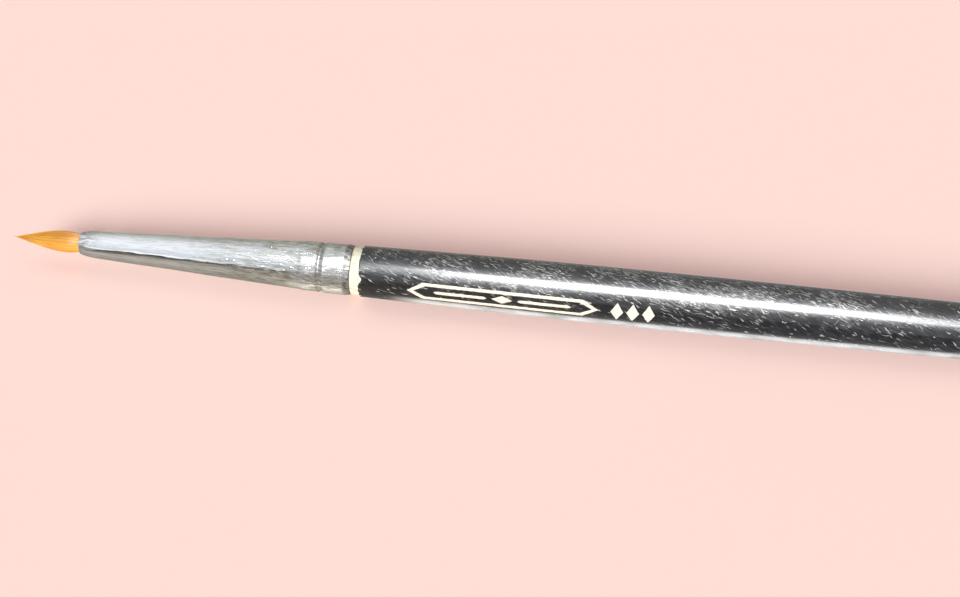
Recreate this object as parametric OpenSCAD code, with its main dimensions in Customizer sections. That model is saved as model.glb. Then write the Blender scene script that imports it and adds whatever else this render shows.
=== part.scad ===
// A fine detail brush: a pointed tuft of synthetic hair, bound and potted in a swaged metal ferrule
// that is crimped onto the tenon of a turned and lacquered wooden handle.
// The brush lies along X, tuft towards -X, on a surface at z = 0. Millimetres.

/* [Overall] */
// Length of the whole brush, from the tuft's point to the handle's end
overall_len = 170; // [150:1:190]
// Number of facets round the axis in a preview
preview_fn = 64; // [32:16:128]

/* [Tuft] */
// Length of hair that stands out of the ferrule
tuft_out = 7.8; // [6.5:0.1:10]
// Length of hair held inside the ferrule
tuft_root = 13; // [12.5:0.1:14]
// Diameter of the tuft at its belly, just past the ferrule's mouth
tuft_d = 2.36; // [2.2:0.02:2.5]
// Distance from the mouth to the belly
belly_at = 1.6; // [1:0.1:2.5]
// Diameter of the bundle of long hairs that makes the point
point_d = 0.8; // [0.6:0.05:1.2]

/* [Ferrule] */
// Length of the ferrule
ferrule_len = 30; // [29:0.5:32]
// Wall of the ferrule's tube
ferrule_wall = 0.25; // [0.2:0.01:0.3]
// Outside diameter at the mouth, over the rolled rim
mouth_d = 2.42; // [2.36:0.02:2.5]
// Outside diameter of the straight land that the crimps grip
land_d = 5.4; // [5.36:0.01:5.44]
// Length of the straight land between the crimp and the rear lip
land_len = 2.1; // [1.8:0.1:2.2]

/* [Handle] */
// Greatest diameter of the lacquered handle
handle_d = 6; // [5.9:0.05:6.3]
// Diameter of the handle's rounded end
tail_d = 3.6; // [3:0.1:4.4]
// Distance from the ferrule to the start of the straight grip
grip_start = 27; // [20:1:32]
// Length of the straight grip
grip_len = 9; // [6:1:12]
// Length of the tenon inside the ferrule
tenon_len = 12; // [10:0.5:12.5]
// Width of the pale ring that is bare of lacquer beside the ferrule
bare_ring = 1.05; // [0.6:0.05:1.5]

/* [Coats] */
// Thickness of the pale undercoat on the wood
primer_t = 0.05; // [0.04:0.01:0.08]
// Thickness of the black lacquer
lacquer_t = 0.1; // [0.08:0.01:0.15]
// Thickness of the stamped foil
foil_t = 0.03; // [0.02:0.01:0.05]

/* [Hidden] */

// Stations along the brush: s runs back from the ferrule's mouth, x from the ferrule's rear lip.
handle_out = overall_len - tuft_out - ferrule_len; // handle that shows behind the ferrule
axis_z = handle_d / 2;
lip_x = tuft_out + ferrule_len - overall_len / 2; // the rear lip, with the origin at mid length
clear = 0.01; // gap that keeps the tuft off the rim
glue_gap = 0.06; // adhesive film between tenon and ferrule

// Ferrule: a cone, drawn in at the nose and rolled in at the rear lip
cone_r0 = 1.42; // radius at the mouth if the cone ran on
nose_len = 1.8;
nose_drop = cone_r0 - mouth_d / 2;
lip_len = 0.7;
lip_drop = 0.12;
land_s1 = ferrule_len - lip_len;
land_s0 = land_s1 - land_len;
crimp_half = 0.45; // half the crimp's width
crimp_depth = 0.17;
crimp_s = land_s0 - crimp_half;

// Handle: straight grip, with a power curve in front of it and another behind it
front_drop = 0.28;
taper_power = 1.7;
tail_r = tail_d / 2;
cap_x = handle_out - tail_r;
shoulder_x = 0.06; // the hairline gap between the lip and the shoulder
tenon_chamfer = 0.4;

// Potting inside the ferrule
root_r = 1.15; // hair bundle at its root end
thread_d = 0.2;
thread_turns = 4;
thread_pitch = 0.21;
thread_s = tuft_root - 2;
epoxy_s0 = 8;
epoxy_s1 = tuft_root + 2;
pocket_gap = 0.04;

// Foil marks: they face 11 degrees above the horizon on the -Y side
mark_up = 11;
mark_x0 = 6.3;
cartouche_len = 20;
cartouche_h = 1.9;
cartouche_point = 1.6; // length of the pointed part at each end
foil_line = 0.32;
bead_w = 2.2; // the lozenge in the cartouche's middle
bead_h = 0.9;
dash_len = 5.6; // the line on each side of it
dash_gap = 0.5;
lozenge_x0 = 28.2;
lozenge_pitch = 1.62;
lozenge_w = 1.3;
lozenge_h = 2;
mark_margin = 1; // skin on each side that the outline is cut from

function ease(t) = 0.5 - 0.5 * cos(180 * t);
function unit(t) = min(1, max(0, t));
function span(a, b, n) = [for (i = [0 : n]) a + (b - a) * i / n];

// Outside radius of the ferrule at a station
function cone_r(s) = cone_r0 + (land_d / 2 - cone_r0) * s / land_s0;
function ferrule_r(s) = min(cone_r(s), land_d / 2)
    - nose_drop * pow(unit(1 - s / nose_len), 2)
    - crimp_depth * ease(unit(1 - abs(s - crimp_s) / crimp_half))
    - lip_drop * pow(unit((s - land_s1) / lip_len), 2);
rim = ferrule_wall / 2; // the mouth's edge is rounded to half the wall
rim_steps = 10;
crimp_stations = span(crimp_s - crimp_half, crimp_s + crimp_half, 12);
lip_stations = span(land_s1, ferrule_len, 6);
nose_stations = span(rim, nose_len, 8);

// Radius of the tuft outside the mouth, at a distance u from it: it swells to the belly as a sine
// and runs to the point as a power of a cosine
mouth_r = mouth_d / 2 - ferrule_wall - clear;
point_power = 1.15;
function tuft_r(u) = u < belly_at
    ? mouth_r + (tuft_d / 2 - mouth_r) * sin(90 * u / belly_at)
    : tuft_d / 2 * pow(max(0, cos(90 * (u - belly_at) / (tuft_out - belly_at))), point_power);
// Where the belly's hairs end, because the tuft is no wider than the long hairs' bundle
belly_end = belly_at
    + (tuft_out - belly_at) * acos(pow(point_d / tuft_d, 1 / point_power)) / 90;
bundle_s = tuft_root - 3; // where the bundle reaches its full root radius

// Outside radius of the lacquer at a distance x behind the ferrule
function coat_r(x) = x < grip_start
    ? handle_d / 2 - front_drop * pow((grip_start - x) / (grip_start - bare_ring), taper_power)
    : handle_d / 2 - (handle_d / 2 - tail_r)
        * pow(unit((x - grip_start - grip_len) / (cap_x - grip_start - grip_len)), taper_power);
cap_steps = 12;
function coat_outline(x0, off) = concat(
    [for (x = span(x0, grip_start, 14)) [coat_r(x) - off, x]],
    [for (x = span(grip_start + grip_len, cap_x, 24)) [coat_r(x) - off, x]],
    [for (i = [1 : cap_steps]) let (a = 90 * i / cap_steps)
        [(tail_r - off) * cos(a), cap_x + (tail_r - off) * sin(a)]]);
function backwards(list) = [for (i = [len(list) - 1 : -1 : 0]) list[i]];

// Revolves an outline of [radius, station] points about the brush's axis
module turned(outline, from_x) {
    translate([from_x, 0, axis_z])
        rotate([0, 90, 0])
            rotate_extrude($fn = preview_fn)
                polygon(outline);
}

mouth_x = lip_x - ferrule_len;
function tuft_outline(u_list) = [for (u = u_list) [tuft_r(u), -u]];

module point_hairs() {
    color("goldenrod")
        turned(concat(
            [[0, tuft_root], [point_d / 2, tuft_root]],
            tuft_outline(span(belly_end, tuft_out, 10))), mouth_x);
}

module belly_hairs() {
    color("orange")
        turned(concat(
            [[point_d / 2, tuft_root], [root_r, tuft_root], [root_r, bundle_s]],
            tuft_outline(span(0, belly_end, 22))), mouth_x);
}

// The thread is one tube swept along a helix round the bundle's root
thread_sides = 6;
thread_steps = 20;
thread_rings = thread_turns * thread_steps;
helix_r = root_r + thread_d / 2 + clear;
function thread_ring(i) = let (a = 360 * i / thread_steps) [for (k = [0 : thread_sides - 1])
    let (b = 360 * k / thread_sides, r = helix_r + thread_d / 2 * cos(b))
        [r * sin(a), r * cos(a), thread_pitch * i / thread_steps + thread_d / 2 * sin(b)]];
thread_points = [for (i = [0 : thread_rings]) for (p = thread_ring(i)) p];
function thread_at(i, k) = i * thread_sides + k % thread_sides;
thread_faces = concat(
    [[for (k = [0 : thread_sides - 1]) k]],
    [for (i = [0 : thread_rings - 1]) for (k = [0 : thread_sides - 1])
        [thread_at(i, k), thread_at(i + 1, k), thread_at(i + 1, k + 1), thread_at(i, k + 1)]],
    [[for (k = [thread_sides - 1 : -1 : 0]) thread_at(thread_rings, k)]]);

module root_binding() {
    color("ivory")
        translate([mouth_x + thread_s, 0, axis_z])
            rotate([0, 90, 0])
                polyhedron(thread_points, thread_faces);
}

// Epoxy fills the ferrule round the root and closes it behind, with a pocket round the thread
pocket_r = helix_r + thread_d / 2 + pocket_gap;
pocket_s0 = thread_s - thread_d;
pocket_s1 = thread_s + thread_turns * thread_pitch + thread_d;
function bundle_r(s) = mouth_r + (root_r - mouth_r) * unit(s / bundle_s);

module root_epoxy() {
    color("tan")
        turned([
            [bundle_r(epoxy_s0), epoxy_s0],
            [ferrule_r(epoxy_s0) - ferrule_wall, epoxy_s0],
            [ferrule_r(epoxy_s1) - ferrule_wall, epoxy_s1],
            [0, epoxy_s1],
            [0, tuft_root], [root_r, tuft_root],
            [root_r, pocket_s1], [pocket_r, pocket_s1],
            [pocket_r, pocket_s0], [root_r, pocket_s0],
            [root_r, bundle_s]], mouth_x);
}

module ferrule() {
    stations = concat(nose_stations, crimp_stations, lip_stations);
    rim_r = ferrule_r(rim) - rim;
    color("silver")
        turned(concat(
            [for (s = stations) [ferrule_r(s), s]],
            [for (s = backwards(stations)) [ferrule_r(s) - ferrule_wall, s]],
            [for (i = [1 : rim_steps - 1]) let (a = 180 - 180 * i / rim_steps)
                [rim_r + rim * cos(a), rim - rim * sin(a)]]), mouth_x);
}

// The tenon follows the ferrule's bore, crimp included, one film of glue smaller
tenon_s = ferrule_len - tenon_len;
tenon_stations = concat([tenon_s + tenon_chamfer], crimp_stations, lip_stations);
function tenon_outline(off) =
    [for (s = tenon_stations) [ferrule_r(s) - ferrule_wall - off, s - ferrule_len]];

module tenon_glue() {
    color("wheat")
        turned(concat(tenon_outline(0), backwards(tenon_outline(glue_gap))), lip_x);
}

module wood_handle() {
    chamfer_r = ferrule_r(tenon_s) - ferrule_wall - glue_gap - tenon_chamfer;
    off = lacquer_t + primer_t;
    neck_r = ferrule_r(ferrule_len) - ferrule_wall - glue_gap;
    color("burlywood")
        turned(concat(
            [[0, -tenon_len], [chamfer_r, -tenon_len]],
            tenon_outline(glue_gap),
            [[neck_r, shoulder_x]],
            coat_outline(shoulder_x, off)), lip_x);
}

module coat(x0, outside, inside) {
    turned(concat(coat_outline(x0, outside), backwards(coat_outline(x0, inside))), lip_x);
}

module primer_coat() {
    color("cornsilk")
        coat(shoulder_x, lacquer_t, lacquer_t + primer_t);
}

module lacquer_coat() {
    color("black")
        coat(bare_ring, 0, lacquer_t);
}

// A skin of foil over the lacquer, cut to a flat outline that faces the marks' side
module stamped(from_x, to_x) {
    skin = span(from_x, to_x, 8);
    intersection() {
        turned(concat(
            [for (x = skin) [coat_r(x) + foil_t, x]],
            [for (x = backwards(skin)) [coat_r(x), x]]), lip_x);
        translate([lip_x, 0, axis_z])
            rotate([90 - mark_up, 0, 0])
                linear_extrude(height = handle_d)
                    children();
    }
}

// A flat outline with a pointed end at each side, centred on x
module pointed_bar(x, length, height, point) {
    translate([x, 0])
        polygon([
            [-length / 2, 0], [-length / 2 + point, height / 2], [length / 2 - point, height / 2],
            [length / 2, 0], [length / 2 - point, -height / 2], [-length / 2 + point, -height / 2]]);
}

module lozenge(x, width, height) {
    translate([x, 0])
        polygon([[-width / 2, 0], [0, height / 2], [width / 2, 0], [0, -height / 2]]);
}

module foil_cartouche() {
    mid = mark_x0 + cartouche_len / 2;
    dash_at = bead_w / 2 + dash_gap + dash_len / 2;
    color("ivory")
        stamped(mark_x0 - mark_margin, mark_x0 + cartouche_len + mark_margin) {
            difference() {
                pointed_bar(mid, cartouche_len, cartouche_h, cartouche_point);
                pointed_bar(mid, cartouche_len - 4 * foil_line, cartouche_h - 2 * foil_line,
                    cartouche_point - foil_line);
            }
            lozenge(mid, bead_w, bead_h);
            for (side = [-1, 1])
                pointed_bar(mid + side * dash_at, dash_len, foil_line, foil_line);
        }
}

module foil_lozenges() {
    color("ivory")
        stamped(lozenge_x0 - mark_margin, lozenge_x0 + 2 * lozenge_pitch + mark_margin)
            for (i = [0 : 2])
                lozenge(lozenge_x0 + i * lozenge_pitch, lozenge_w, lozenge_h);
}

point_hairs();
belly_hairs();
root_binding();
root_epoxy();
ferrule();
tenon_glue();
wood_handle();
primer_coat();
lacquer_coat();
foil_cartouche();
foil_lozenges();
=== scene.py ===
import math

import bmesh
import bpy
import numpy as np
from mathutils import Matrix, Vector
from mathutils.geometry import delaunay_2d_cdt


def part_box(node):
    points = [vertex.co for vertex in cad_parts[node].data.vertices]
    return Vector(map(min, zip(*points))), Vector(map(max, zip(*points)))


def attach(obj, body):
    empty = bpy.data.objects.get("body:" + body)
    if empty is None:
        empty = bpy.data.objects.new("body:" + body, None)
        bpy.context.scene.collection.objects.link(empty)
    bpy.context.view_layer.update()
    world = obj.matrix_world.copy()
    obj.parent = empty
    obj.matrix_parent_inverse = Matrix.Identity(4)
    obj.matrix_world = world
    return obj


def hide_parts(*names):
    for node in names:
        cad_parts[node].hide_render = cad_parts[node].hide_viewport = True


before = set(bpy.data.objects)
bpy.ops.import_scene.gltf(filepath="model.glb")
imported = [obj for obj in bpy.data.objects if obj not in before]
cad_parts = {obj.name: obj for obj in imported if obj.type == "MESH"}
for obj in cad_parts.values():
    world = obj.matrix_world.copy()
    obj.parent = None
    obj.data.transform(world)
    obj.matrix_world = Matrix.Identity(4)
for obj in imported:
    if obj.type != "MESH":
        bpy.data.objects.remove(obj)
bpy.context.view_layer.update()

MM = 0.001
TURN = 2 * math.pi
BODY = "root"
AXIS_Z = (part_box("lacquer_coat")[0].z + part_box("lacquer_coat")[1].z) / 2 / MM
MOUTH_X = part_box("ferrule")[0].x / MM
LIP_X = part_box("ferrule")[1].x / MM
BARE_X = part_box("lacquer_coat")[0].x / MM
TIP_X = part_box("point_hairs")[0].x / MM
BELLY_END_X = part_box("belly_hairs")[0].x / MM
ROOT_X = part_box("belly_hairs")[1].x / MM
HANDLE_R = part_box("lacquer_coat")[1].y / MM
CRIMP_X = LIP_X - 3.25  # middle of the crimp's groove
GRIP_X = LIP_X + 34  # where the handle is held
FOIL_T = -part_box("foil_lozenges")[0].y / MM - HANDLE_R
MARKS_UP = math.radians(11)  # the stamped marks face -Y, this far above the horizon
CREASE = math.radians(40)  # edges that turn by more than this stay sharp


# ---------------------------------------------------------------- outlines

def cad_outline(node, bore=False):
    """The stations along X of a turned CAD node's outer wall, or its bore's, and the radius at
    each. The side that a point's normal faces tells the two walls apart. A point on the axis has no
    such side, and belongs to the outer wall if its normal faces the node's nearer end."""
    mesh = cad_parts[node].data
    points = np.array([v.co for v in mesh.vertices]) / MM
    normals = np.array([v.normal for v in mesh.vertices])
    radial = points[:, 1] * normals[:, 1] + (points[:, 2] - AXIS_Z) * normals[:, 2]
    endward = (points[:, 0] - points[:, 0].mean()) * normals[:, 0]
    outward = radial + 0.001 * endward > -0.01
    points = points[outward != bore]
    points = points[np.argsort(points[:, 0])]
    radius = np.hypot(points[:, 1], points[:, 2] - AXIS_Z)
    new_station = np.flatnonzero(np.diff(points[:, 0]) > 0.002) + 1
    stations = [group.mean() for group in np.split(points[:, 0], new_station)]
    radii = [group.max() for group in np.split(radius, new_station)]
    return np.array(stations), np.array(radii)


def smooth_curve(t, ts, ys):
    """A monotone cubic through the points (ts, ys): flats stay flat and nothing overshoots."""
    step = np.diff(ts)
    slope = np.diff(ys) / step
    before, after = slope[:-1], slope[1:]
    same_way = before * after > 0
    mean = 2 * before * after / np.where(same_way, before + after, 1)
    tangent = np.concatenate([slope[:1], np.where(same_way, mean, 0), slope[-1:]])
    i = np.clip(np.searchsorted(ts, t) - 1, 0, len(step) - 1)
    h = step[i]
    u = (t - ts[i]) / h
    return (
        (1 + 2 * u) * (1 - u) ** 2 * ys[i]
        + u * (1 - u) ** 2 * h * tangent[i]
        + u ** 2 * (3 - 2 * u) * ys[i + 1]
        + u ** 2 * (u - 1) * h * tangent[i + 1]
    )


def resampled(stations, radii, pitch):
    """An outline's points, evenly spaced along its own length, as an array of (x, radius). Long
    straight runs are divided first, so that the smoothing rounds only their last millimetre."""
    length = np.concatenate([[0], np.cumsum(np.hypot(np.diff(stations), np.diff(radii)))])
    knots = np.union1d(length, np.arange(0, length[-1], 1.0))
    at = np.linspace(0, length[-1], int(length[-1] / pitch) + 2)
    return np.column_stack([smooth_curve(at, knots, np.interp(knots, length, values))
                            for values in (stations, radii)])


def ripple(rng, x, angle, waves, per_turn, pitch):
    """Waviness of about -1 to 1 that closes on itself round the brush: cosines with a whole number
    of waves per turn, and pitches along X, drawn from the two ranges."""
    total = 0
    for _ in range(waves):
        turns = rng.integers(*per_turn)
        along = TURN / rng.uniform(*pitch)
        total = total + np.cos(turns * angle + along * x + rng.uniform(0, TURN))
    return total / math.sqrt(waves)


def smoothstep(value, low, high):
    """0 up to low, 1 from high on, and a smooth step between. low may be the larger of the two."""
    t = np.clip((value - low) / (high - low), 0, 1)
    return t * t * (3 - 2 * t)


# ---------------------------------------------------------------- meshes

def lathe(name, rings, around, shape, ends="poles"):
    """Turns rings of (x, radius) into a closed mesh. shape(x, radius, angle) gives the final x and
    radius. The ends are poles on the axis, or "joined" where the last ring meets the first."""
    angle = np.linspace(0, TURN, around, endpoint=False)
    x, radius = np.broadcast_arrays(*(np.array(rings).T[:, :, None]), angle)[:2]
    x, radius = shape(x, radius, angle[None, :])
    points = np.stack([x, -radius * np.sin(angle), AXIS_Z + radius * np.cos(angle)], axis=-1)
    i = np.arange(len(rings) if ends == "joined" else len(rings) - 1)[:, None]
    j = np.arange(around)[None, :]
    following, beside = (i + 1) % len(rings), (j + 1) % around
    corners = (i * around + j, following * around + j, following * around + beside,
               i * around + beside)
    faces = np.stack(np.broadcast_arrays(*corners), axis=-1).reshape(-1, 4)
    return closed_mesh(name, points.reshape(-1, 3), faces.tolist())


def closed_mesh(name, points, faces):
    """A mesh of points in millimetres, with coincident points merged and normals facing out."""
    mesh = bpy.data.meshes.new(name)
    mesh.from_pydata((np.asarray(points) * MM).tolist(), [], faces)
    work = bmesh.new()
    work.from_mesh(mesh)
    bmesh.ops.remove_doubles(work, verts=work.verts, dist=1e-7)
    bmesh.ops.recalc_face_normals(work, faces=work.faces)
    work.to_mesh(mesh)
    work.free()
    return mesh


def add_piece(name, mesh, material, slot, *nodes):
    """The mesh as a smooth-shaded piece that rides on the brush and stands for CAD nodes."""
    mesh.polygons.foreach_set("use_smooth", [True] * len(mesh.polygons))
    mesh.set_sharp_from_angle(angle=CREASE)
    mesh.materials.append(material)
    piece = bpy.data.objects.new(name, mesh)
    bpy.context.scene.collection.objects.link(piece)
    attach(piece, BODY)
    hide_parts(*nodes)
    return piece


def dress(node, material):
    """Gives a CAD node that stays its finished material."""
    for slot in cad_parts[node].material_slots:
        slot.material = material


# ---------------------------------------------------------------- shader building

class Shader:
    """The node tree of a new material, or of the world. Each method adds a node and returns its
    output socket."""

    def __init__(self, name, owner=None):
        self.owner = owner or bpy.data.materials.new(name)
        self.owner.use_nodes = True
        self.tree = self.owner.node_tree
        self.tree.nodes.clear()

    def node(self, kind, inputs=None, **settings):
        made = self.tree.nodes.new("ShaderNode" + kind)
        for key, value in settings.items():
            setattr(made, key, value)
        for key, value in (inputs or {}).items():
            self.feed(made.inputs[key], value)
        return made

    def feed(self, socket, value):
        if isinstance(value, bpy.types.NodeSocket):
            self.tree.links.new(value, socket)
        else:
            socket.default_value = value

    def math(self, operation, *values):
        return self.node("Math", dict(enumerate(values)), operation=operation).outputs[0]

    def total(self, first, *others):
        for other in others:
            first = self.math("ADD", first, other)
        return first

    def product(self, first, *others):
        for other in others:
            first = self.math("MULTIPLY", first, other)
        return first

    def most(self, first, *others):
        for other in others:
            first = self.math("MAXIMUM", first, other)
        return first

    def vector(self, x, y, z=0.0):
        return self.node("CombineXYZ", {0: x, 1: y, 2: z}).outputs[0]

    def split(self, vector):
        return self.node("SeparateXYZ", {0: vector}).outputs

    def remap(self, value, low, high, to_low=0.0, to_high=1.0):
        """Smooth step from to_low at low to to_high at high."""
        inputs = {"Value": value, "From Min": low, "From Max": high, "To Min": to_low,
                  "To Max": to_high}
        return self.node("MapRange", inputs, interpolation_type="SMOOTHSTEP").outputs[0]

    def mix(self, factor, a, b):
        made = self.node("Mix", {0: factor, 6: a, 7: b}, data_type="RGBA")
        return made.outputs[2]

    def noise(self, vector, scale, detail=3.0, rough=0.5):
        inputs = {"Vector": vector, "Scale": scale, "Detail": detail, "Roughness": rough}
        return self.node("TexNoise", inputs).outputs[0]

    def bump(self, height, depth, normal=None):
        """A bump of that depth in millimetres for heights from 0 to 1."""
        inputs = {"Height": height, "Distance": depth * MM, "Strength": 1.0}
        if normal is not None:
            inputs["Normal"] = normal
        return self.node("Bump", inputs).outputs[0]

    def place(self):
        """(x, arc, point): along the brush, round it on the handle's radius, and in space, in mm."""
        raw = self.node("TexCoord").outputs["Object"]
        point = self.node("VectorMath", {0: raw, 1: (1 / MM,) * 3}, operation="MULTIPLY").outputs[0]
        x, y, z = self.split(point)
        sideways = self.math("MULTIPLY", y, -1.0)
        angle = self.math("ARCTAN2", sideways, self.math("SUBTRACT", z, AXIS_Z))
        return x, self.math("MULTIPLY", angle, HANDLE_R), point

    def wobbled(self, x, arc, point, amount):
        """x and arc moved by up to half of amount, so that strokes drawn there aren't ruled."""
        shift = self.node("TexNoise", {"Vector": point, "Scale": 2.2, "Detail": 2.0})
        along, round_it, _ = self.split(shift.outputs["Color"])
        return (self.total(x, self.math("MULTIPLY_ADD", along, amount, -amount / 2)),
                self.total(arc, self.math("MULTIPLY_ADD", round_it, amount, -amount / 2)))

    def off_axis(self, point):
        """Distance of a point from the brush's axis, in mm."""
        _, y, z = self.split(point)
        above = self.math("SUBTRACT", z, AXIS_Z)
        return self.math("SQRT", self.total(self.product(y, y), self.product(above, above)))

    def finish(self, **inputs):
        """Ends the tree in a Principled shader. An underscore in a name stands for a space."""
        named = {key.replace("_", " "): value for key, value in inputs.items()}
        surface = self.node("BsdfPrincipled", named).outputs[0]
        self.node("OutputMaterial", {"Surface": surface})
        return self.owner


def srgb(red, green, blue):
    """A colour given as 0-255 screen values, as the linear colour that shaders take."""
    def linear(value):
        value /= 255
        return value / 12.92 if value <= 0.04045 else ((value + 0.055) / 1.055) ** 2.4
    return (linear(red), linear(green), linear(blue), 1.0)


def leaning(s, x, arc, tilt):
    """Distances along and across a line that leans by tilt degrees from the brush's length."""
    cos, sin = math.cos(math.radians(tilt)), math.sin(math.radians(tilt))
    along = s.total(s.product(x, cos), s.product(arc, sin))
    across = s.total(s.product(x, -sin), s.product(arc, cos))
    return along, across


def dashes(s, x, arc, tilt, cell, size, density, seed):
    """A field of short strokes, 0.2 to 1 inside them and 0 elsewhere. Each has its own cell of about
    cell = (length, width), measures up to size = (length, width), and leans by about tilt degrees
    from the brush's length. The share of cells that have a stroke is density."""
    along, across = leaning(s, x, arc, tilt)
    grid = s.vector(s.math("MULTIPLY_ADD", along, 1 / cell[0], seed * 3.7),
                    s.math("MULTIPLY_ADD", across, 1 / cell[1], seed * 5.3))
    cells = s.node("TexVoronoi", {"Vector": grid, "Scale": 1.0}, voronoi_dimensions="2D")
    offset = s.node("VectorMath", {0: grid, 1: cells.outputs["Position"]}, operation="SUBTRACT")
    off_along, off_across, _ = s.split(offset.outputs[0])
    chance, longer, lean = s.node("SeparateColor", {0: cells.outputs["Color"]}).outputs
    off_along = s.product(off_along, cell[0])
    sway = s.product(off_along, s.math("MULTIPLY_ADD", lean, 0.8, -0.4))
    off_across = s.total(s.product(off_across, cell[1]), sway)
    half_length = s.math("MULTIPLY_ADD", longer, 0.35 * size[0], 0.15 * size[0])
    reach = s.math("POWER", s.math("DIVIDE", off_along, half_length), 2.0)
    width = s.math("POWER", s.product(off_across, 2 / size[1]), 2.0)
    stroke = s.remap(s.total(reach, width), 1.0, 0.2)
    strength = s.math("SUBTRACT", 1.0, s.product(s.math("DIVIDE", chance, density), 0.8))
    return s.product(stroke, strength, s.math("LESS_THAN", chance, density))


# ---------------------------------------------------------------- materials

def scratches(s, x, arc, wear_and_glint, patches):
    """Strokes of six kinds on the lacquer. Most lean by about 25 degrees, as a turning brush leaves
    them, and wear_and_glint and patches set how many there are: the lacquer's wear, with a painted
    glint that puts more of them towards the top."""
    most_places = s.total(s.product(wear_and_glint, 0.75), 0.05)
    in_patches = s.total(s.product(patches, 0.3), -0.03)
    fine = dashes(s, x, arc, 26, (0.7, 0.28), (1.0, 0.08), wear_and_glint, 1)
    thin = dashes(s, x, arc, 20, (1.5, 0.3), (1.9, 0.06), wear_and_glint, 6)
    bold = dashes(s, x, arc, 24, (1.3, 0.6), (1.1, 0.14), most_places, 2)
    long = dashes(s, x, arc, 16, (6.0, 1.1), (6.0, 0.05), s.product(wear_and_glint, 0.8), 3)
    cross = dashes(s, x, arc, -38, (3.2, 1.7), (1.2, 0.06), s.product(wear_and_glint, 0.4), 4)
    specks = dashes(s, x, arc, 19, (0.9, 0.7), (0.5, 0.12), in_patches, 5)
    return s.most(s.product(fine, 0.85), s.product(thin, 0.85), bold, s.product(long, 0.6),
                  s.product(cross, 0.5), specks)


def combed_haze(s, x, arc, wear_and_glint):
    """Fine streaks that run the way the scratches lean, and fade where the lacquer is little worn
    and towards the underside, where less painted glint is given.
    """
    along, across = leaning(s, x, arc, 23)
    brushed = s.noise(s.vector(s.product(along, 0.8), s.product(across, 6.0)), 1.0, detail=4.0,
                      rough=0.62)
    return s.product(s.remap(brushed, 0.44, 0.66), s.total(s.product(wear_and_glint, 0.85), 0.15))


def lacquer_material():
    """Black lacquer with a deep gloss, covered in short oblique scratches. It is worn most where
    it is held. Its scratches and streaks are denser and paler towards the top and fainter on its
    underside: partly wear, and partly a painted glint where they catch the light from above."""
    s = Shader("black_lacquer")
    x, arc, point = s.place()
    held = s.remap(s.math("ABSOLUTE", s.math("SUBTRACT", x, GRIP_X)), 34.0, 6.0, 0.5, 1.0)
    # upper: more and paler scratches towards the top, partly wear and partly a painted glint where
    # they catch the light
    upper = s.remap(s.math("ABSOLUTE", arc), 5.4, 1.2, 0.14, 1.0)
    patches = s.remap(s.noise(point, 0.2, detail=4.0), 0.36, 0.64, 0.2, 1.0)
    wear_and_glint = s.product(held, upper, patches)
    combed = combed_haze(s, x, arc, wear_and_glint)
    x, arc = s.wobbled(x, arc, point, 0.35)
    off_pole = s.remap(s.off_axis(point), 0.6, 1.5)
    marks = s.product(scratches(s, x, arc, wear_and_glint, patches), off_pole)
    haze = s.noise(s.vector(s.product(x, 0.4), s.product(arc, 1.2)), 1.1, detail=5.0, rough=0.62)
    colour = s.mix(s.remap(haze, 0.45, 0.85, 0.0, 0.3), srgb(14, 14, 16), srgb(44, 44, 47))
    colour = s.mix(s.product(combed, 0.2), colour, srgb(176, 178, 180))
    # the scratches' colour is painted paler towards the top: a painted glint
    marks_with_painted_glint = s.product(marks, s.total(s.product(upper, 0.4), 0.5))
    colour = s.mix(marks_with_painted_glint, colour, srgb(222, 222, 218))
    scuffed = s.most(marks, s.product(combed, 0.7))
    roughness = s.total(s.remap(haze, 0.3, 0.75, 0.26, 0.34), s.product(scuffed, 0.14))
    skin = s.bump(s.noise(point, 2.2, detail=2.0), 0.003)
    normal = s.bump(s.math("SUBTRACT", 1.0, scuffed), 0.022, skin)
    level = s.total(s.product(scuffed, 0.5), 0.5)
    return s.finish(Base_Color=colour, Roughness=roughness, Normal=normal,
                    Specular_IOR_Level=level, Coat_Weight=0.4, Coat_Roughness=0.06)


def ferrule_stains_and_shade(s, x, arc):
    """Darker plate: patchy stains round the mouth, before and in the crimp, and at the lip, and
    beneath them painted shade in the crimp's groove and a painted dark reflection on the rolled lip.
    """
    stains = s.remap(s.noise(s.vector(s.product(x, 1.1), s.product(arc, 2.6)), 1.0, detail=4.0),
                     0.4, 0.56)
    at_mouth = s.remap(x, MOUTH_X + 3.2, MOUTH_X + 0.4)
    # in the crimp's groove: painted shade in the recess, and patchy stains
    in_crimp = s.remap(s.math("ABSOLUTE", s.math("SUBTRACT", x, CRIMP_X)), 0.7, 0.3)
    # painted_lip_shade: the rolled lip painted dark, a painted dark reflection
    painted_lip_shade = s.remap(x, LIP_X - 1.0, LIP_X - 0.5)
    near_crimp = s.product(s.remap(x, CRIMP_X - 4, CRIMP_X - 0.5), 0.4)
    patchy = s.most(s.product(at_mouth, 0.7), s.product(in_crimp, 0.8), painted_lip_shade, near_crimp)
    # in the groove and on the lip, part of the darkening is painted shade that needs no stains
    return s.most(s.product(stains, patchy), s.product(in_crimp, 0.5), s.product(painted_lip_shade, 0.7))


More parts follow.
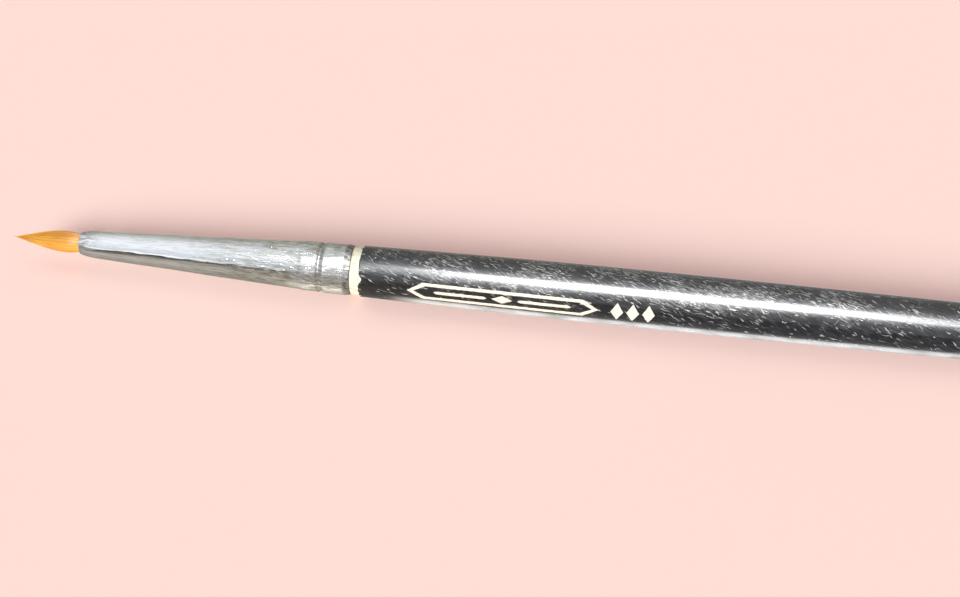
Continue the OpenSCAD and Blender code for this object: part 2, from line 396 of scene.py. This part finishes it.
def nickel_material():
    """Nickel plate, bright near the mouth and worn behind: drawn lines along the tube, blotches of
    dull tarnish, rubs that catch the light, patchy stains, and painted shade in the crimp's groove
    and on the rolled lip."""
    s = Shader("worn_nickel")
    x, arc, _ = s.place()
    behind = s.remap(x, MOUTH_X + 8, LIP_X - 5)
    drawn = s.noise(s.vector(s.product(x, 0.35), s.product(arc, 5.0)), 1.0, detail=5.0, rough=0.65)
    blotch = s.noise(s.vector(s.product(x, 0.6), s.product(arc, 2.2)), 1.0, detail=5.0, rough=0.62)
    tarnish = s.product(s.remap(blotch, 0.47, 0.62), s.total(s.product(behind, 0.75), 0.25))
    rubs = dashes(s, x, arc, 8, (1.5, 0.3), (2.0, 0.16), s.product(behind, 0.8), 7)
    nicks = dashes(s, x, arc, 20, (1.5, 0.6), (1.1, 0.06), s.product(behind, 0.5), 8)
    pale_lines = s.total(s.remap(drawn, 0.4, 0.64), s.product(s.remap(behind, 0.6, 0.0), 0.6))
    streaked = s.mix(pale_lines, srgb(200, 201, 198), srgb(238, 240, 242))
    colour = s.mix(s.product(tarnish, 0.85), streaked, srgb(164, 162, 146))
    colour = s.mix(s.product(rubs, 0.7), colour, srgb(252, 252, 250))
    colour = s.mix(s.product(nicks, 0.6), colour, srgb(96, 94, 86))
    # darkening: stains, and painted shade in the crimp's groove and on the rolled lip
    darkening = ferrule_stains_and_shade(s, x, arc)
    colour = s.mix(s.product(darkening, 0.9), colour, srgb(56, 54, 46))
    roughness = s.total(s.remap(blotch, 0.35, 0.7, 0.06, 0.12), s.product(behind, 0.04),
                        s.product(tarnish, 0.1), s.product(darkening, 0.3))
    lines = s.bump(s.product(drawn, s.total(s.product(behind, 0.85), 0.15)), 0.016)
    rubbed = s.bump(s.product(s.total(rubs, blotch), s.total(behind, 0.1)), 0.009, lines)
    # less metal where it is darker, which takes the reflection off the groove and the lip: painted
    # shade as well as dull stains
    bare = s.math("SUBTRACT", 1.0, s.product(darkening, 0.6))
    return s.finish(Base_Color=colour, Metallic=bare, Roughness=roughness, Normal=rubbed)


def undercoat_material():
    """Chalky ivory undercoat, thick and lumpy, with dirt in its pits, and painted dark beside the
    ferrule's lip: a painted shadow in the gap between them.
    """
    s = Shader("ivory_undercoat")
    x, _, point = s.place()
    lumps = s.noise(point, 5.0, detail=4.0, rough=0.65)
    darkening = s.remap(s.noise(point, 2.4, detail=5.0), 0.52, 0.72)
    # painted_lip_shade: a painted shadow where the undercoat meets the ferrule's lip
    painted_lip_shade = s.remap(x, LIP_X + 0.22, LIP_X + 0.06)
    colour = s.mix(darkening, srgb(233, 228, 204), srgb(196, 186, 154))
    colour = s.mix(s.product(painted_lip_shade, 0.8), colour, srgb(120, 106, 78))
    normal = s.bump(lumps, 0.05)
    return s.finish(Base_Color=colour, Roughness=0.62, Normal=normal)


def hair_material():
    """Translucent amber filaments, each of its own shade, with darker streaks."""
    s = Shader("amber_hair")
    x, arc, _ = s.place()
    own = s.node("Attribute", attribute_name="strand").outputs["Fac"]
    colour = s.mix(own, srgb(220, 140, 34), srgb(250, 192, 84))
    streak = s.noise(s.vector(s.product(x, 1.2), s.product(arc, 9.0), own), 1.0, detail=2.0)
    colour = s.mix(s.remap(streak, 0.5, 0.75, 0.0, 0.5), colour, srgb(176, 104, 26))
    return s.finish(Base_Color=colour, Roughness=0.34, Subsurface_Weight=0.35,
                    Subsurface_Scale=0.15 * MM, Subsurface_Radius=(1.0, 0.6, 0.25),
                    Coat_Weight=0.3, Coat_Roughness=0.2)


def foil_material():
    """Ivory pigment foil, stamped on the lacquer: slightly uneven, and cracked here and there."""
    s = Shader("ivory_foil")
    x, arc, point = s.place()
    cloud = s.noise(point, 3.0, detail=4.0)
    cracks = dashes(s, x, arc, 55, (1.3, 0.9), (0.9, 0.06), 0.5, 11)
    pits = s.remap(s.noise(point, 9.0, detail=3.0), 0.66, 0.74)
    colour = s.mix(s.remap(cloud, 0.4, 0.7), srgb(238, 233, 214), srgb(217, 209, 185))
    colour = s.mix(s.math("MAXIMUM", s.product(cracks, 0.6), pits), colour, srgb(104, 98, 84))
    normal = s.bump(s.noise(point, 6.0, detail=3.0), 0.01)
    return s.finish(Base_Color=colour, Roughness=0.48, Normal=normal)


def wood_material():
    """Pale turned hardwood with its grain along the handle."""
    s = Shader("turned_wood")
    x, arc, _ = s.place()
    grain = s.noise(s.vector(s.product(x, 0.12), s.product(arc, 2.2)), 1.0, detail=6.0, rough=0.65)
    colour = s.mix(s.remap(grain, 0.35, 0.7), srgb(214, 180, 134), srgb(166, 124, 80))
    return s.finish(Base_Color=colour, Roughness=0.6, Normal=s.bump(grain, 0.02))


def resin_material():
    """Amber resin with small bubbles."""
    s = Shader("amber_resin")
    point = s.place()[2]
    bubbles = s.node("TexVoronoi", {"Vector": point, "Scale": 2.6}).outputs["Distance"]
    seen = s.remap(bubbles, 0.12, 0.2)
    colour = s.mix(seen, srgb(240, 220, 170), srgb(206, 158, 88))
    return s.finish(Base_Color=colour, Roughness=0.2, Normal=s.bump(seen, 0.02))


def glue_material():
    """Dried adhesive, cloudy and a little uneven."""
    s = Shader("dried_glue")
    point = s.place()[2]
    cloud = s.noise(point, 1.6, detail=4.0)
    colour = s.mix(cloud, srgb(236, 224, 188), srgb(204, 184, 134))
    return s.finish(Base_Color=colour, Roughness=0.5, Normal=s.bump(cloud, 0.02))


def thread_material():
    """White cotton thread with the twist of its ply."""
    s = Shader("binding_thread")
    x, arc, _ = s.place()
    ply = s.node("TexWave", {"Vector": s.vector(s.product(x, 3.0), s.product(arc, 2.0)),
                             "Scale": 1.6, "Distortion": 0.6}, bands_direction="DIAGONAL")
    colour = s.mix(ply.outputs["Fac"], srgb(206, 198, 172), srgb(244, 240, 224))
    return s.finish(Base_Color=colour, Roughness=0.85, Normal=s.bump(ply.outputs["Fac"], 0.02))


# ---------------------------------------------------------------- pieces

def build_ferrule(material):
    """The swaged tube: a rounded mouth, drawn walls with faint waves and dents, a short flat before
    the crimp, jaw marks in it, and the rear lip rolled in."""
    pitch = 0.12
    flat_r, flat_len = 2.64, 2.3
    rng = np.random.default_rng(5)
    outer_wall = resampled(*cad_outline("ferrule"), pitch)
    inner_wall = resampled(*cad_outline("ferrule", bore=True), 4 * pitch)[::-1][:-1]
    dents = [(rng.uniform(MOUTH_X + 3, LIP_X - 1), rng.uniform(0, TURN), rng.uniform(0.4, 1.0),
              rng.uniform(0.006, 0.02)) for _ in range(26)]

    def dented(x, radius, angle):
        hollow = 0
        for at, turned, size, depth in dents:
            beside = radius * (np.mod(angle - turned + math.pi, TURN) - math.pi)
            hollow = hollow + depth * np.exp(-((x - at) ** 2 + beside ** 2 * 2) / size ** 2)
        return hollow

    def shape(x, radius, angle):
        settled = smoothstep(x, MOUTH_X + 0.5, MOUTH_X + 4)
        wave = 0.006 * ripple(rng, x, angle, 8, (2, 7), (6, 16))
        wave = wave + 0.002 * ripple(rng, x, angle, 10, (9, 22), (1.5, 5))
        pressed = smoothstep(x, CRIMP_X - 5, CRIMP_X - 1)
        wave = wave + 0.0035 * pressed * ripple(rng, x, angle, 12, (10, 30), (0.8, 3))
        jaws = (0.012 * np.cos(9 * angle) + 0.02) * np.exp(-((x - CRIMP_X) / 0.36) ** 2)
        hollow = dented(x, radius, angle)
        flat = (x > CRIMP_X - flat_len) & (x < CRIMP_X) & (abs(radius - flat_r + 0.03) < 0.06)
        flattened = smoothstep(x, CRIMP_X - flat_len, CRIMP_X - flat_len + 0.4) * (flat_r - radius)
        radius = radius + np.where(flat, flattened, 0)
        return x, radius + settled * (wave - hollow) + jaws

    mesh = lathe("ferrule_tube", np.concatenate([outer_wall, inner_wall]), 192, shape, "joined")
    return add_piece("ferrule_tube", mesh, material, "plated_metal", "ferrule")


def chipped(angle):
    """How far back the lacquer has flaked at its front edge, in mm, round the brush."""
    rng = np.random.default_rng(21)
    jag = ripple(rng, 0, angle, 9, (4, 30), (1, 2))
    flakes = ripple(rng, 0, angle, 5, (2, 9), (1, 2))
    return 0.06 * jag + 0.4 * smoothstep(flakes, 0.6, 1.7)


def build_undercoat(material):
    """The thin undercoat, lumpy where it shows beside the ferrule and plain under the lacquer."""
    rng = np.random.default_rng(9)
    stations, radii = cad_outline("primer_coat")
    show = resampled(*(a[stations < BARE_X + 5] for a in (stations, radii)), 0.06)
    hidden = resampled(*(a[stations >= BARE_X + 5] for a in (stations, radii)), 1.5)
    inner = resampled(*cad_outline("primer_coat", bore=True), 1.5)[::-1]

    def shape(x, radius, angle):
        bare = smoothstep(x, BARE_X + 0.9, BARE_X + 0.3) * (radius > 2.6)
        lumps = ripple(rng, x, angle, 14, (14, 60), (0.3, 1.1))
        edge = smoothstep(x, LIP_X + 0.2, LIP_X + 0.06)
        return x, radius + bare * (0.03 + 0.018 * lumps) * (1 - edge) - 0.03 * edge * bare

    mesh = lathe("undercoat", np.concatenate([inner, show, hidden]), 192, shape)
    return add_piece("undercoat", mesh, material, "primer", "primer_coat")


def build_lacquer(material):
    """The lacquer's skin, with a flaked front edge that shows its thickness."""
    stations, radii = cad_outline("lacquer_coat")
    front = stations < BARE_X + 4
    near = resampled(stations[front], radii[front], 0.07)
    rest = resampled(stations[~front], radii[~front], 0.35)
    thickness = 0.1
    inner = resampled(*cad_outline("primer_coat"), 1.5)
    inner = inner[inner[:, 0] > BARE_X + 1.2][::-1]
    edge = [(BARE_X, near[0, 1] - thickness), (BARE_X, near[0, 1] - 0.05),
            (BARE_X + 0.02, near[0, 1] - 0.015)]

    def shape(x, radius, angle):
        back = chipped(angle) * smoothstep(x, BARE_X + 1.4, BARE_X)
        return x + back, radius

    mesh = lathe("lacquer_skin", np.concatenate([inner, edge, near[1:], rest]), 160, shape)
    return add_piece("lacquer_skin", mesh, material, "lacquer", "lacquer_coat")


def build_wood(material):
    """The turned wood inside the undercoat, with its tenon inside the ferrule."""
    rings = resampled(*cad_outline("wood_handle"), 0.2)
    rings = np.concatenate([[(rings[0, 0], 0)], rings, [(rings[-1, 0], 0)]])
    mesh = lathe("turned_wood", rings, 64, lambda x, radius, angle: (x, radius))
    return add_piece("turned_wood", mesh, material, "wood", "wood_handle")


# ---------------------------------------------------------------- stamped marks

RIM_PITCH = 0.08  # spacing of points along a mark's edge
FILL_PITCH = 0.12  # and inside it
SHOULDER = 0.02  # width of the soft slope at a mark's edge


def vertex_loops(edges):
    """The closed loops that edges make, each as a list of vertices."""
    beside = {}
    for edge in edges:
        one, other = edge.verts
        beside.setdefault(one, []).append(other)
        beside.setdefault(other, []).append(one)
    loops = []
    while beside:
        loop = [next(iter(beside))]
        while following := [vert for vert in beside.pop(loop[-1]) if vert in beside]:
            loop.append(following[0])
        loops.append(loop)
    return loops


def stamped_outlines(node):
    """The outlines of a stamped CAD node, seen square on: closed loops of (x, across) in mm, read
    from the rim of its outer skin."""
    work = bmesh.new()
    work.from_mesh(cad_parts[node].data)
    bmesh.ops.remove_doubles(work, verts=work.verts, dist=1e-6)
    stations, radii = cad_outline("lacquer_coat")

    def on_skin(vert):
        x, y, z = vert.co / MM
        return math.hypot(y, z - AXIS_Z) > np.interp(x, stations, radii) + FOIL_T / 2

    skin = {face for face in work.faces if all(on_skin(vert) for vert in face.verts)}
    rims = [edge for edge in work.edges if sum(face in skin for face in edge.link_faces) == 1]
    outlines = []
    for loop in vertex_loops(rims):
        points = np.array([vert.co for vert in loop]) / MM
        across = points[:, 1] * math.sin(MARKS_UP) + (points[:, 2] - AXIS_Z) * math.cos(MARKS_UP)
        outlines.append(np.column_stack([points[:, 0], across]))
    work.free()
    return outlines


def ragged(loop, rng):
    """A closed outline with points every RIM_PITCH or less, each a little out of true."""
    points = []
    for here, there in zip(loop, np.roll(loop, -1, axis=0)):
        count = max(1, math.ceil(np.hypot(*(there - here)) / RIM_PITCH))
        points += [here + (there - here) * i / count for i in range(count)]
    noise = rng.normal(0, 0.012, (len(points), 2))
    return np.array(points) + (noise + np.roll(noise, 1, axis=0) + np.roll(noise, 2, axis=0)) / 3


def inside(points, loops):
    """Which points lie inside the outlines. Holes count as outside."""
    px, py = points[:, 0, None], points[:, 1, None]
    crossings = 0
    for loop in loops:
        (x0, y0), (x1, y1) = loop.T, np.roll(loop, -1, axis=0).T
        rise = np.where(y1 == y0, 1, y1 - y0)
        crossed = ((y0 > py) != (y1 > py)) & (px < x0 + (py - y0) * (x1 - x0) / rise)
        crossings = crossings + crossed.sum(axis=1)
    return crossings % 2 == 1


def shrunk(loop, loops, step):
    """A loop moved by step towards the inside of the marks."""
    along = np.roll(loop, -1, axis=0) - np.roll(loop, 1, axis=0)
    normal = np.column_stack([along[:, 1], -along[:, 0]]) / np.hypot(*along.T)[:, None]
    way = np.where(inside(loop + normal * step, loops), 1, -1)[:, None]
    return loop + way * normal * step


def on_handle(points, height):
    """Points of (x, across) laid on the lacquer at a height above it, in space, in mm."""
    x, across = points.T
    radius = np.interp(x, *cad_outline("lacquer_coat")) + height
    depth = np.sqrt(radius ** 2 - across ** 2)
    y = across * math.sin(MARKS_UP) - depth * math.cos(MARKS_UP)
    z = across * math.cos(MARKS_UP) + depth * math.sin(MARKS_UP) + AXIS_Z
    return np.column_stack([x, y, z])


def filled(loops):
    """The outlines filled with triangles small enough to bend round the handle: the points as
    (x, across), the faces, and which of the points lie on an outline."""
    rim = np.concatenate(loops)
    shoulder = np.concatenate([shrunk(loop, loops, SHOULDER) for loop in loops])
    low, high = rim.min(axis=0), rim.max(axis=0)
    columns, rows = (np.arange(low[k], high[k], FILL_PITCH) for k in (0, 1))
    grid = np.stack(np.meshgrid(columns, rows), axis=-1).reshape(-1, 2)
    grid = grid[inside(grid, loops)]
    gap = np.hypot(*(grid[:, None, :] - rim[None, :, :]).transpose(2, 0, 1)).min(axis=1)
    points = [Vector(p) for p in np.concatenate([rim, shoulder, grid[gap > RIM_PITCH]])]
    edges = []
    for loop in loops:
        start = len(edges)
        edges += [(start + i, start + (i + 1) % len(loop)) for i in range(len(loop))]
    flat, _, faces, sources, _, _ = delaunay_2d_cdt(points, edges, [], 1, 1e-6)
    flat, faces = np.array(flat), np.array(faces)
    faces = faces[inside(flat[faces].mean(axis=1), loops)]
    return flat, faces, np.array([min(origin) < len(rim) for origin in sources])


def build_stamp(name, node, material):
    """A stamped mark as a thin skin that follows the handle, with soft, slightly ragged edges."""
    rng = np.random.default_rng(31)
    flat, faces, on_rim = filled([ragged(loop, rng) for loop in stamped_outlines(node)])
    height = np.where(on_rim, 0.4 * FOIL_T, FOIL_T - rng.uniform(0, 0.004, len(flat)))
    points = np.concatenate([on_handle(flat, height), on_handle(flat, -0.02)])
    under = (faces[:, ::-1] + len(flat)).tolist()
    faces = faces.tolist()
    sides = {(a, b) for face in faces for a, b in zip(face, face[1:] + face[:1])}
    walls = [(b, a, a + len(flat), b + len(flat)) for a, b in sorted(sides) if (b, a) not in sides]
    mesh = closed_mesh(name, points, faces + under + walls)
    return add_piece(name, mesh, material, "foil", node)


# ---------------------------------------------------------------- hair

HAIR_R = 0.042
LONG_UNEVEN = 1.5  # how far back the ends of the long hairs reach from the tip
SHORT_UNEVEN = 3.4  # and those of the short hairs from the foremost of them


def tuft_radius(x):
    """Outside radius of the whole tuft and its root."""
    belly, point = cad_outline("belly_hairs"), cad_outline("point_hairs")
    ahead = point[0] < BELLY_END_X - 0.01
    stations = np.concatenate([point[0][ahead], belly[0]])
    radii = np.concatenate([point[1][ahead], belly[1]])
    return smooth_curve(x, stations, radii)


def hair_mesh(name, rng, ends, share, turned, radial):
    """Tapered filaments from the root to their ends: share is each one's place from the inside of
    its bundle to the outside, and radial(x, share) turns that into a distance from the axis."""
    steps, sides = 18, 6
    held = np.linspace(ROOT_X, MOUTH_X, 4)[:-1]
    t = np.linspace(0, 1, steps - len(held))[None, :] ** 0.8
    showing = MOUTH_X + (ends[:, None] - MOUTH_X) * t
    x = np.concatenate([np.tile(held, (len(ends), 1)), showing], axis=1)
    free = np.clip((MOUTH_X - x) / (MOUTH_X - ends[:, None]), 0, 1)
    thick = HAIR_R * (1 - 0.8 * free ** 2.2)
    away = radial(x, share[:, None])
    phase = rng.uniform(0, TURN, (len(ends), 1))
    sway = 0.02 * free * np.sin(2.2 * x + phase)
    angle = turned[:, None] + sway / np.maximum(away, 0.1)
    centre = np.stack([x, -away * np.sin(angle), AXIS_Z + away * np.cos(angle)], axis=-1)
    b = np.arange(sides) * TURN / sides
    ring = np.stack([0 * b, np.sin(b), np.cos(b)], axis=-1)
    points = centre[:, :, None, :] + thick[:, :, None, None] * ring
    faces = filament_faces(len(ends), steps, sides)
    mesh = bpy.data.meshes.new(name)
    mesh.from_pydata((points.reshape(-1, 3) * MM).tolist(), [], faces)
    shade = mesh.attributes.new("strand", "FLOAT", "POINT")
    shade.data.foreach_set("value", np.repeat(rng.uniform(0, 1, len(ends)), steps * sides))
    return mesh


def filament_faces(count, steps, sides):
    """Faces of many closed tubes whose points run filament by filament and ring by ring."""
    faces = []
    for start in range(0, count * steps * sides, steps * sides):
        for i in range(start, start + (steps - 1) * sides, sides):
            faces += [(i + j, i + (j + 1) % sides, i + sides + (j + 1) % sides, i + sides + j)
                      for j in range(sides)]
        last = start + (steps - 1) * sides
        faces.append(tuple(range(start + sides - 1, start - 1, -1)))
        faces.append(tuple(range(last, last + sides)))
    return faces


def golden_angles(count):
    """Angles that spread a row of points evenly over a disc, as seeds lie in a flower head."""
    return np.arange(count) * math.pi * (3 - math.sqrt(5))


def build_hair(material):
    """Long hairs in the middle that make the point, and shorter ones round them."""
    rng = np.random.default_rng(3)
    bundle = cad_outline("point_hairs")[1].max()

    def middle(x, share):
        return share * (np.minimum(tuft_radius(x), bundle) - HAIR_R * 0.6)

    def round_them(x, share):
        whole = tuft_radius(x)
        core = np.minimum(whole, bundle)
        return core + (whole - core - HAIR_R) * share

    count = 64
    share = np.sqrt((np.arange(count) + 0.5) / count)
    ends = TIP_X + LONG_UNEVEN * rng.uniform(0, 1, count) ** 1.5 * share
    mesh = hair_mesh("long_hairs", rng, ends, share, golden_angles(count), middle)
    add_piece("long_hairs", mesh, material, "hair", "point_hairs")

    count = 420
    mouth_r = tuft_radius(np.array([MOUTH_X]))[0]
    area = (np.arange(count) + 0.5) / count
    placed_r = np.sqrt(bundle ** 2 + (mouth_r ** 2 - bundle ** 2) * area)
    share = (placed_r - bundle) / (mouth_r - bundle)
    ends = BELLY_END_X + SHORT_UNEVEN * rng.uniform(0, 1, count) ** 1.3
    mesh = hair_mesh("short_hairs", rng, ends, share, golden_angles(count), round_them)
    add_piece("short_hairs", mesh, material, "hair", "belly_hairs")


# ---------------------------------------------------------------- stage, light and camera

VIEW_AZIMUTH = math.radians(8.43)
VIEW_ELEVATION = math.radians(43)
VIEW_DISTANCE = 154.3
VIEW_LENS = 55
VIEW_X = LIP_X + 13.6  # the place along the brush at the middle of the view
AXIS_ABOVE_CENTRE = 1.65  # how far above the middle of the view the brush's axis passes there
PALE = srgb(255, 223, 214)


def towards(azimuth, elevation):
    """The direction from the brush to something seen at that azimuth and elevation."""
    return Vector((math.sin(azimuth) * math.cos(elevation),
                   -math.cos(azimuth) * math.cos(elevation), math.sin(elevation)))


def build_camera():
    back = towards(VIEW_AZIMUTH, VIEW_ELEVATION)
    up = towards(VIEW_AZIMUTH, VIEW_ELEVATION + math.pi / 2)
    target = Vector((VIEW_X, 0, AXIS_Z)) - AXIS_ABOVE_CENTRE * up
    data = bpy.data.cameras.new("camera")
    data.lens = VIEW_LENS
    data.sensor_width = 36
    data.clip_start = 0.001
    data.clip_end = 20
    camera = bpy.data.objects.new("camera", data)
    camera.location = (target + VIEW_DISTANCE * back) * MM
    camera.rotation_euler = back.to_track_quat("Z", "Y").to_euler()
    bpy.context.scene.collection.objects.link(camera)
    bpy.context.scene.camera = camera


def mirrored_floor(s, path):
    """The floor as the brush reflects it, as emission: darker under the brush and far in front of
    it, with one lit strip beside the handle and a weaker one beside the crimp."""
    handle_strip, crimp_strip = 12.0, 2.0
    x, y, _ = s.split(s.node("VectorMath", {0: s.node("NewGeometry").outputs["Position"],
                                            1: (1 / MM,) * 3}, operation="MULTIPLY").outputs[0])
    off = s.math("DIVIDE", y, HANDLE_R)
    under = s.remap(s.math("ABSOLUTE", off), 0.2, 2.0, 0.7, 1.0)
    ahead = s.remap(x, MOUTH_X + 4, MOUTH_X - 3)
    far = s.product(s.remap(off, -2.0, -4.0), s.total(s.product(ahead, 0.45), 0.22))
    open_floor = s.product(under, s.math("SUBTRACT", 1.0, far))
    inner = s.remap(off, -0.3, -1.2)
    by_handle = s.product(inner, s.remap(off, -1.33, -1.15), s.remap(x, LIP_X + 3, LIP_X + 8))
    by_crimp = s.product(inner, s.remap(off, -1.6, -1.4), s.remap(x, CRIMP_X - 6, CRIMP_X - 1),
                         s.remap(x, LIP_X + 1, LIP_X - 1))
    cloud = s.noise(s.vector(s.product(x, 0.3), s.product(y, 0.3)), 1.0)
    patchy = s.remap(cloud, 0.3, 0.6, 0.6, 1.0)
    lit = s.total(s.product(by_handle, patchy, handle_strip), s.product(by_crimp, crimp_strip))
    direct = s.math("LESS_THAN", path["Diffuse Depth"], 0.5)
    tint = s.mix(s.remap(x, LIP_X + 12, LIP_X + 36), (0.55, 0.5, 0.43, 1), (0.43, 0.45, 0.48, 1))
    tint = s.mix(by_handle, tint, (0.55, 0.53, 0.52, 1))
    strength = s.total(open_floor, s.product(lit, direct))
    return s.node("Emission", {"Color": tint, "Strength": strength}).outputs[0]


def build_floor():
    """A pale matt table that glows faintly, so that shadows on it stay light."""
    s = Shader("pale_table")
    matt = s.node("BsdfDiffuse", {"Color": (0.807, 0.653, 0.586, 1)}).outputs[0]
    glow = s.node("Emission", {"Color": (0.287, 0.161, 0.155, 1)}).outputs[0]
    seen = s.node("AddShader", {0: matt, 1: glow}).outputs[0]
    path = s.node("LightPath").outputs
    mirrored = mirrored_floor(s, path)
    surface = s.node("MixShader", {0: path["Is Glossy Ray"], 1: seen, 2: mirrored}).outputs[0]
    s.node("OutputMaterial", {"Surface": surface})
    half = 3.0
    mesh = bpy.data.meshes.new("table")
    mesh.from_pydata([(-half, -half, 0), (half, -half, 0), (half, half, 0), (-half, half, 0)], [],
                     [(0, 1, 2, 3)])
    mesh.materials.append(s.owner)
    floor = bpy.data.objects.new("table", mesh)
    bpy.context.scene.collection.objects.link(floor)


def build_world():
    """The room. Matt surfaces get an even fill. Glossy ones see a dark horizon, a bright wall and
    ceiling on the camera's side, and a duller wall beyond."""
    s = Shader("room", bpy.data.worlds.new("room"))
    bpy.context.scene.world = s.owner
    direction = s.node("TexCoord").outputs["Generated"]
    x, y, z = s.split(direction)
    near = s.total(s.product(x, math.sin(VIEW_AZIMUTH)), s.product(y, -math.cos(VIEW_AZIMUTH)))
    height = s.product(s.math("ARCTAN2", z, near), 1 / math.pi)
    ramp = s.node("ValToRGB", {0: height})
    stops = [(0.0, (0.03, 0.03, 0.035)), (0.034, (0.04, 0.04, 0.045)), (0.048, (1.25, 1.27, 1.3)),
             (0.08, (1.2, 1.22, 1.26)), (0.12, (0.78, 0.81, 0.86)), (0.36, (1.1, 1.14, 1.2)),
             (0.6, (0.98, 1.0, 1.03)), (0.8, (0.62, 0.63, 0.59)), (1.0, (0.36, 0.35, 0.31))]
    while len(ramp.color_ramp.elements) < len(stops):
        ramp.color_ramp.elements.new(0.5)
    for element, (at, colour) in zip(ramp.color_ramp.elements, stops):
        element.position = at
        element.color = (*colour, 1)
    path = s.node("LightPath").outputs
    fill = s.mix(path["Is Camera Ray"], (0.2, 0.2, 0.2, 1), PALE)
    colour = s.mix(path["Is Glossy Ray"], fill, ramp.outputs[0])
    background = s.node("Background", {"Color": colour, "Strength": 1.0}).outputs[0]
    s.node("OutputWorld", {"Surface": background})


def build_light(name, azimuth, elevation, energy, spread):
    """A soft distant light, with angles in degrees, that has no reflection in the brush."""
    data = bpy.data.lights.new(name, "SUN")
    data.energy = energy
    data.angle = math.radians(spread)
    light = bpy.data.objects.new(name, data)
    source = towards(VIEW_AZIMUTH + math.radians(azimuth), math.radians(elevation))
    light.rotation_euler = source.to_track_quat("Z", "Y").to_euler()
    light.visible_glossy = False
    bpy.context.scene.collection.objects.link(light)


def build_window():
    """A soft-edged bright panel that only glossy surfaces see: the streak along the handle."""
    distance, length, height = 300, 265, 190
    over_x, elevation, brightness = 1, math.radians(67), 40.0
    s = Shader("window_light")
    u, v, _ = s.split(s.node("TexCoord").outputs["Generated"])
    ends = s.product(s.remap(u, 0.03, 0.17), s.remap(u, 0.93, 0.5))
    sides = s.product(s.remap(v, 0.0, 0.25), s.remap(v, 1.0, 0.75))
    bounces = s.node("LightPath").outputs["Diffuse Depth"]
    strength = s.product(ends, sides, s.math("LESS_THAN", bounces, 0.5), brightness)
    glow = s.node("Emission", {"Color": (0.97, 0.985, 1, 1), "Strength": strength}).outputs[0]
    s.node("OutputMaterial", {"Surface": glow})
    mesh = bpy.data.meshes.new("window")
    mesh.from_pydata([(x * length / 2 * MM, y * height / 2 * MM, 0)
                      for x, y in ((-1, -1), (1, -1), (1, 1), (-1, 1))], [], [(0, 1, 2, 3)])
    mesh.materials.append(s.owner)
    window = bpy.data.objects.new("window", mesh)
    facing = towards(VIEW_AZIMUTH, elevation)
    window.location = (Vector((over_x, 0, AXIS_Z)) + distance * facing) * MM
    window.rotation_euler = facing.to_track_quat("Z", "Y").to_euler()
    window.visible_camera = window.visible_diffuse = window.visible_shadow = False
    window.visible_transmission = window.visible_volume_scatter = False
    bpy.context.scene.collection.objects.link(window)


# ---------------------------------------------------------------- the scene

build_camera()
build_ferrule(nickel_material())
build_undercoat(undercoat_material())
build_lacquer(lacquer_material())
build_wood(wood_material())
build_hair(hair_material())
foil = foil_material()
build_stamp("stamped_cartouche", "foil_cartouche", foil)
build_stamp("stamped_lozenges", "foil_lozenges", foil)
dress("root_epoxy", resin_material())
dress("tenon_glue", glue_material())
dress("root_binding", thread_material())
build_floor()
build_world()
build_light("low_front", -23, 28, 3.8, 24)  # throws the shadow beyond the brush
build_light("high_back", 180, 72, 0.38, 50)  # throws the faint one in front of it
build_window()
bpy.context.scene.view_settings.view_transform = "Standard"
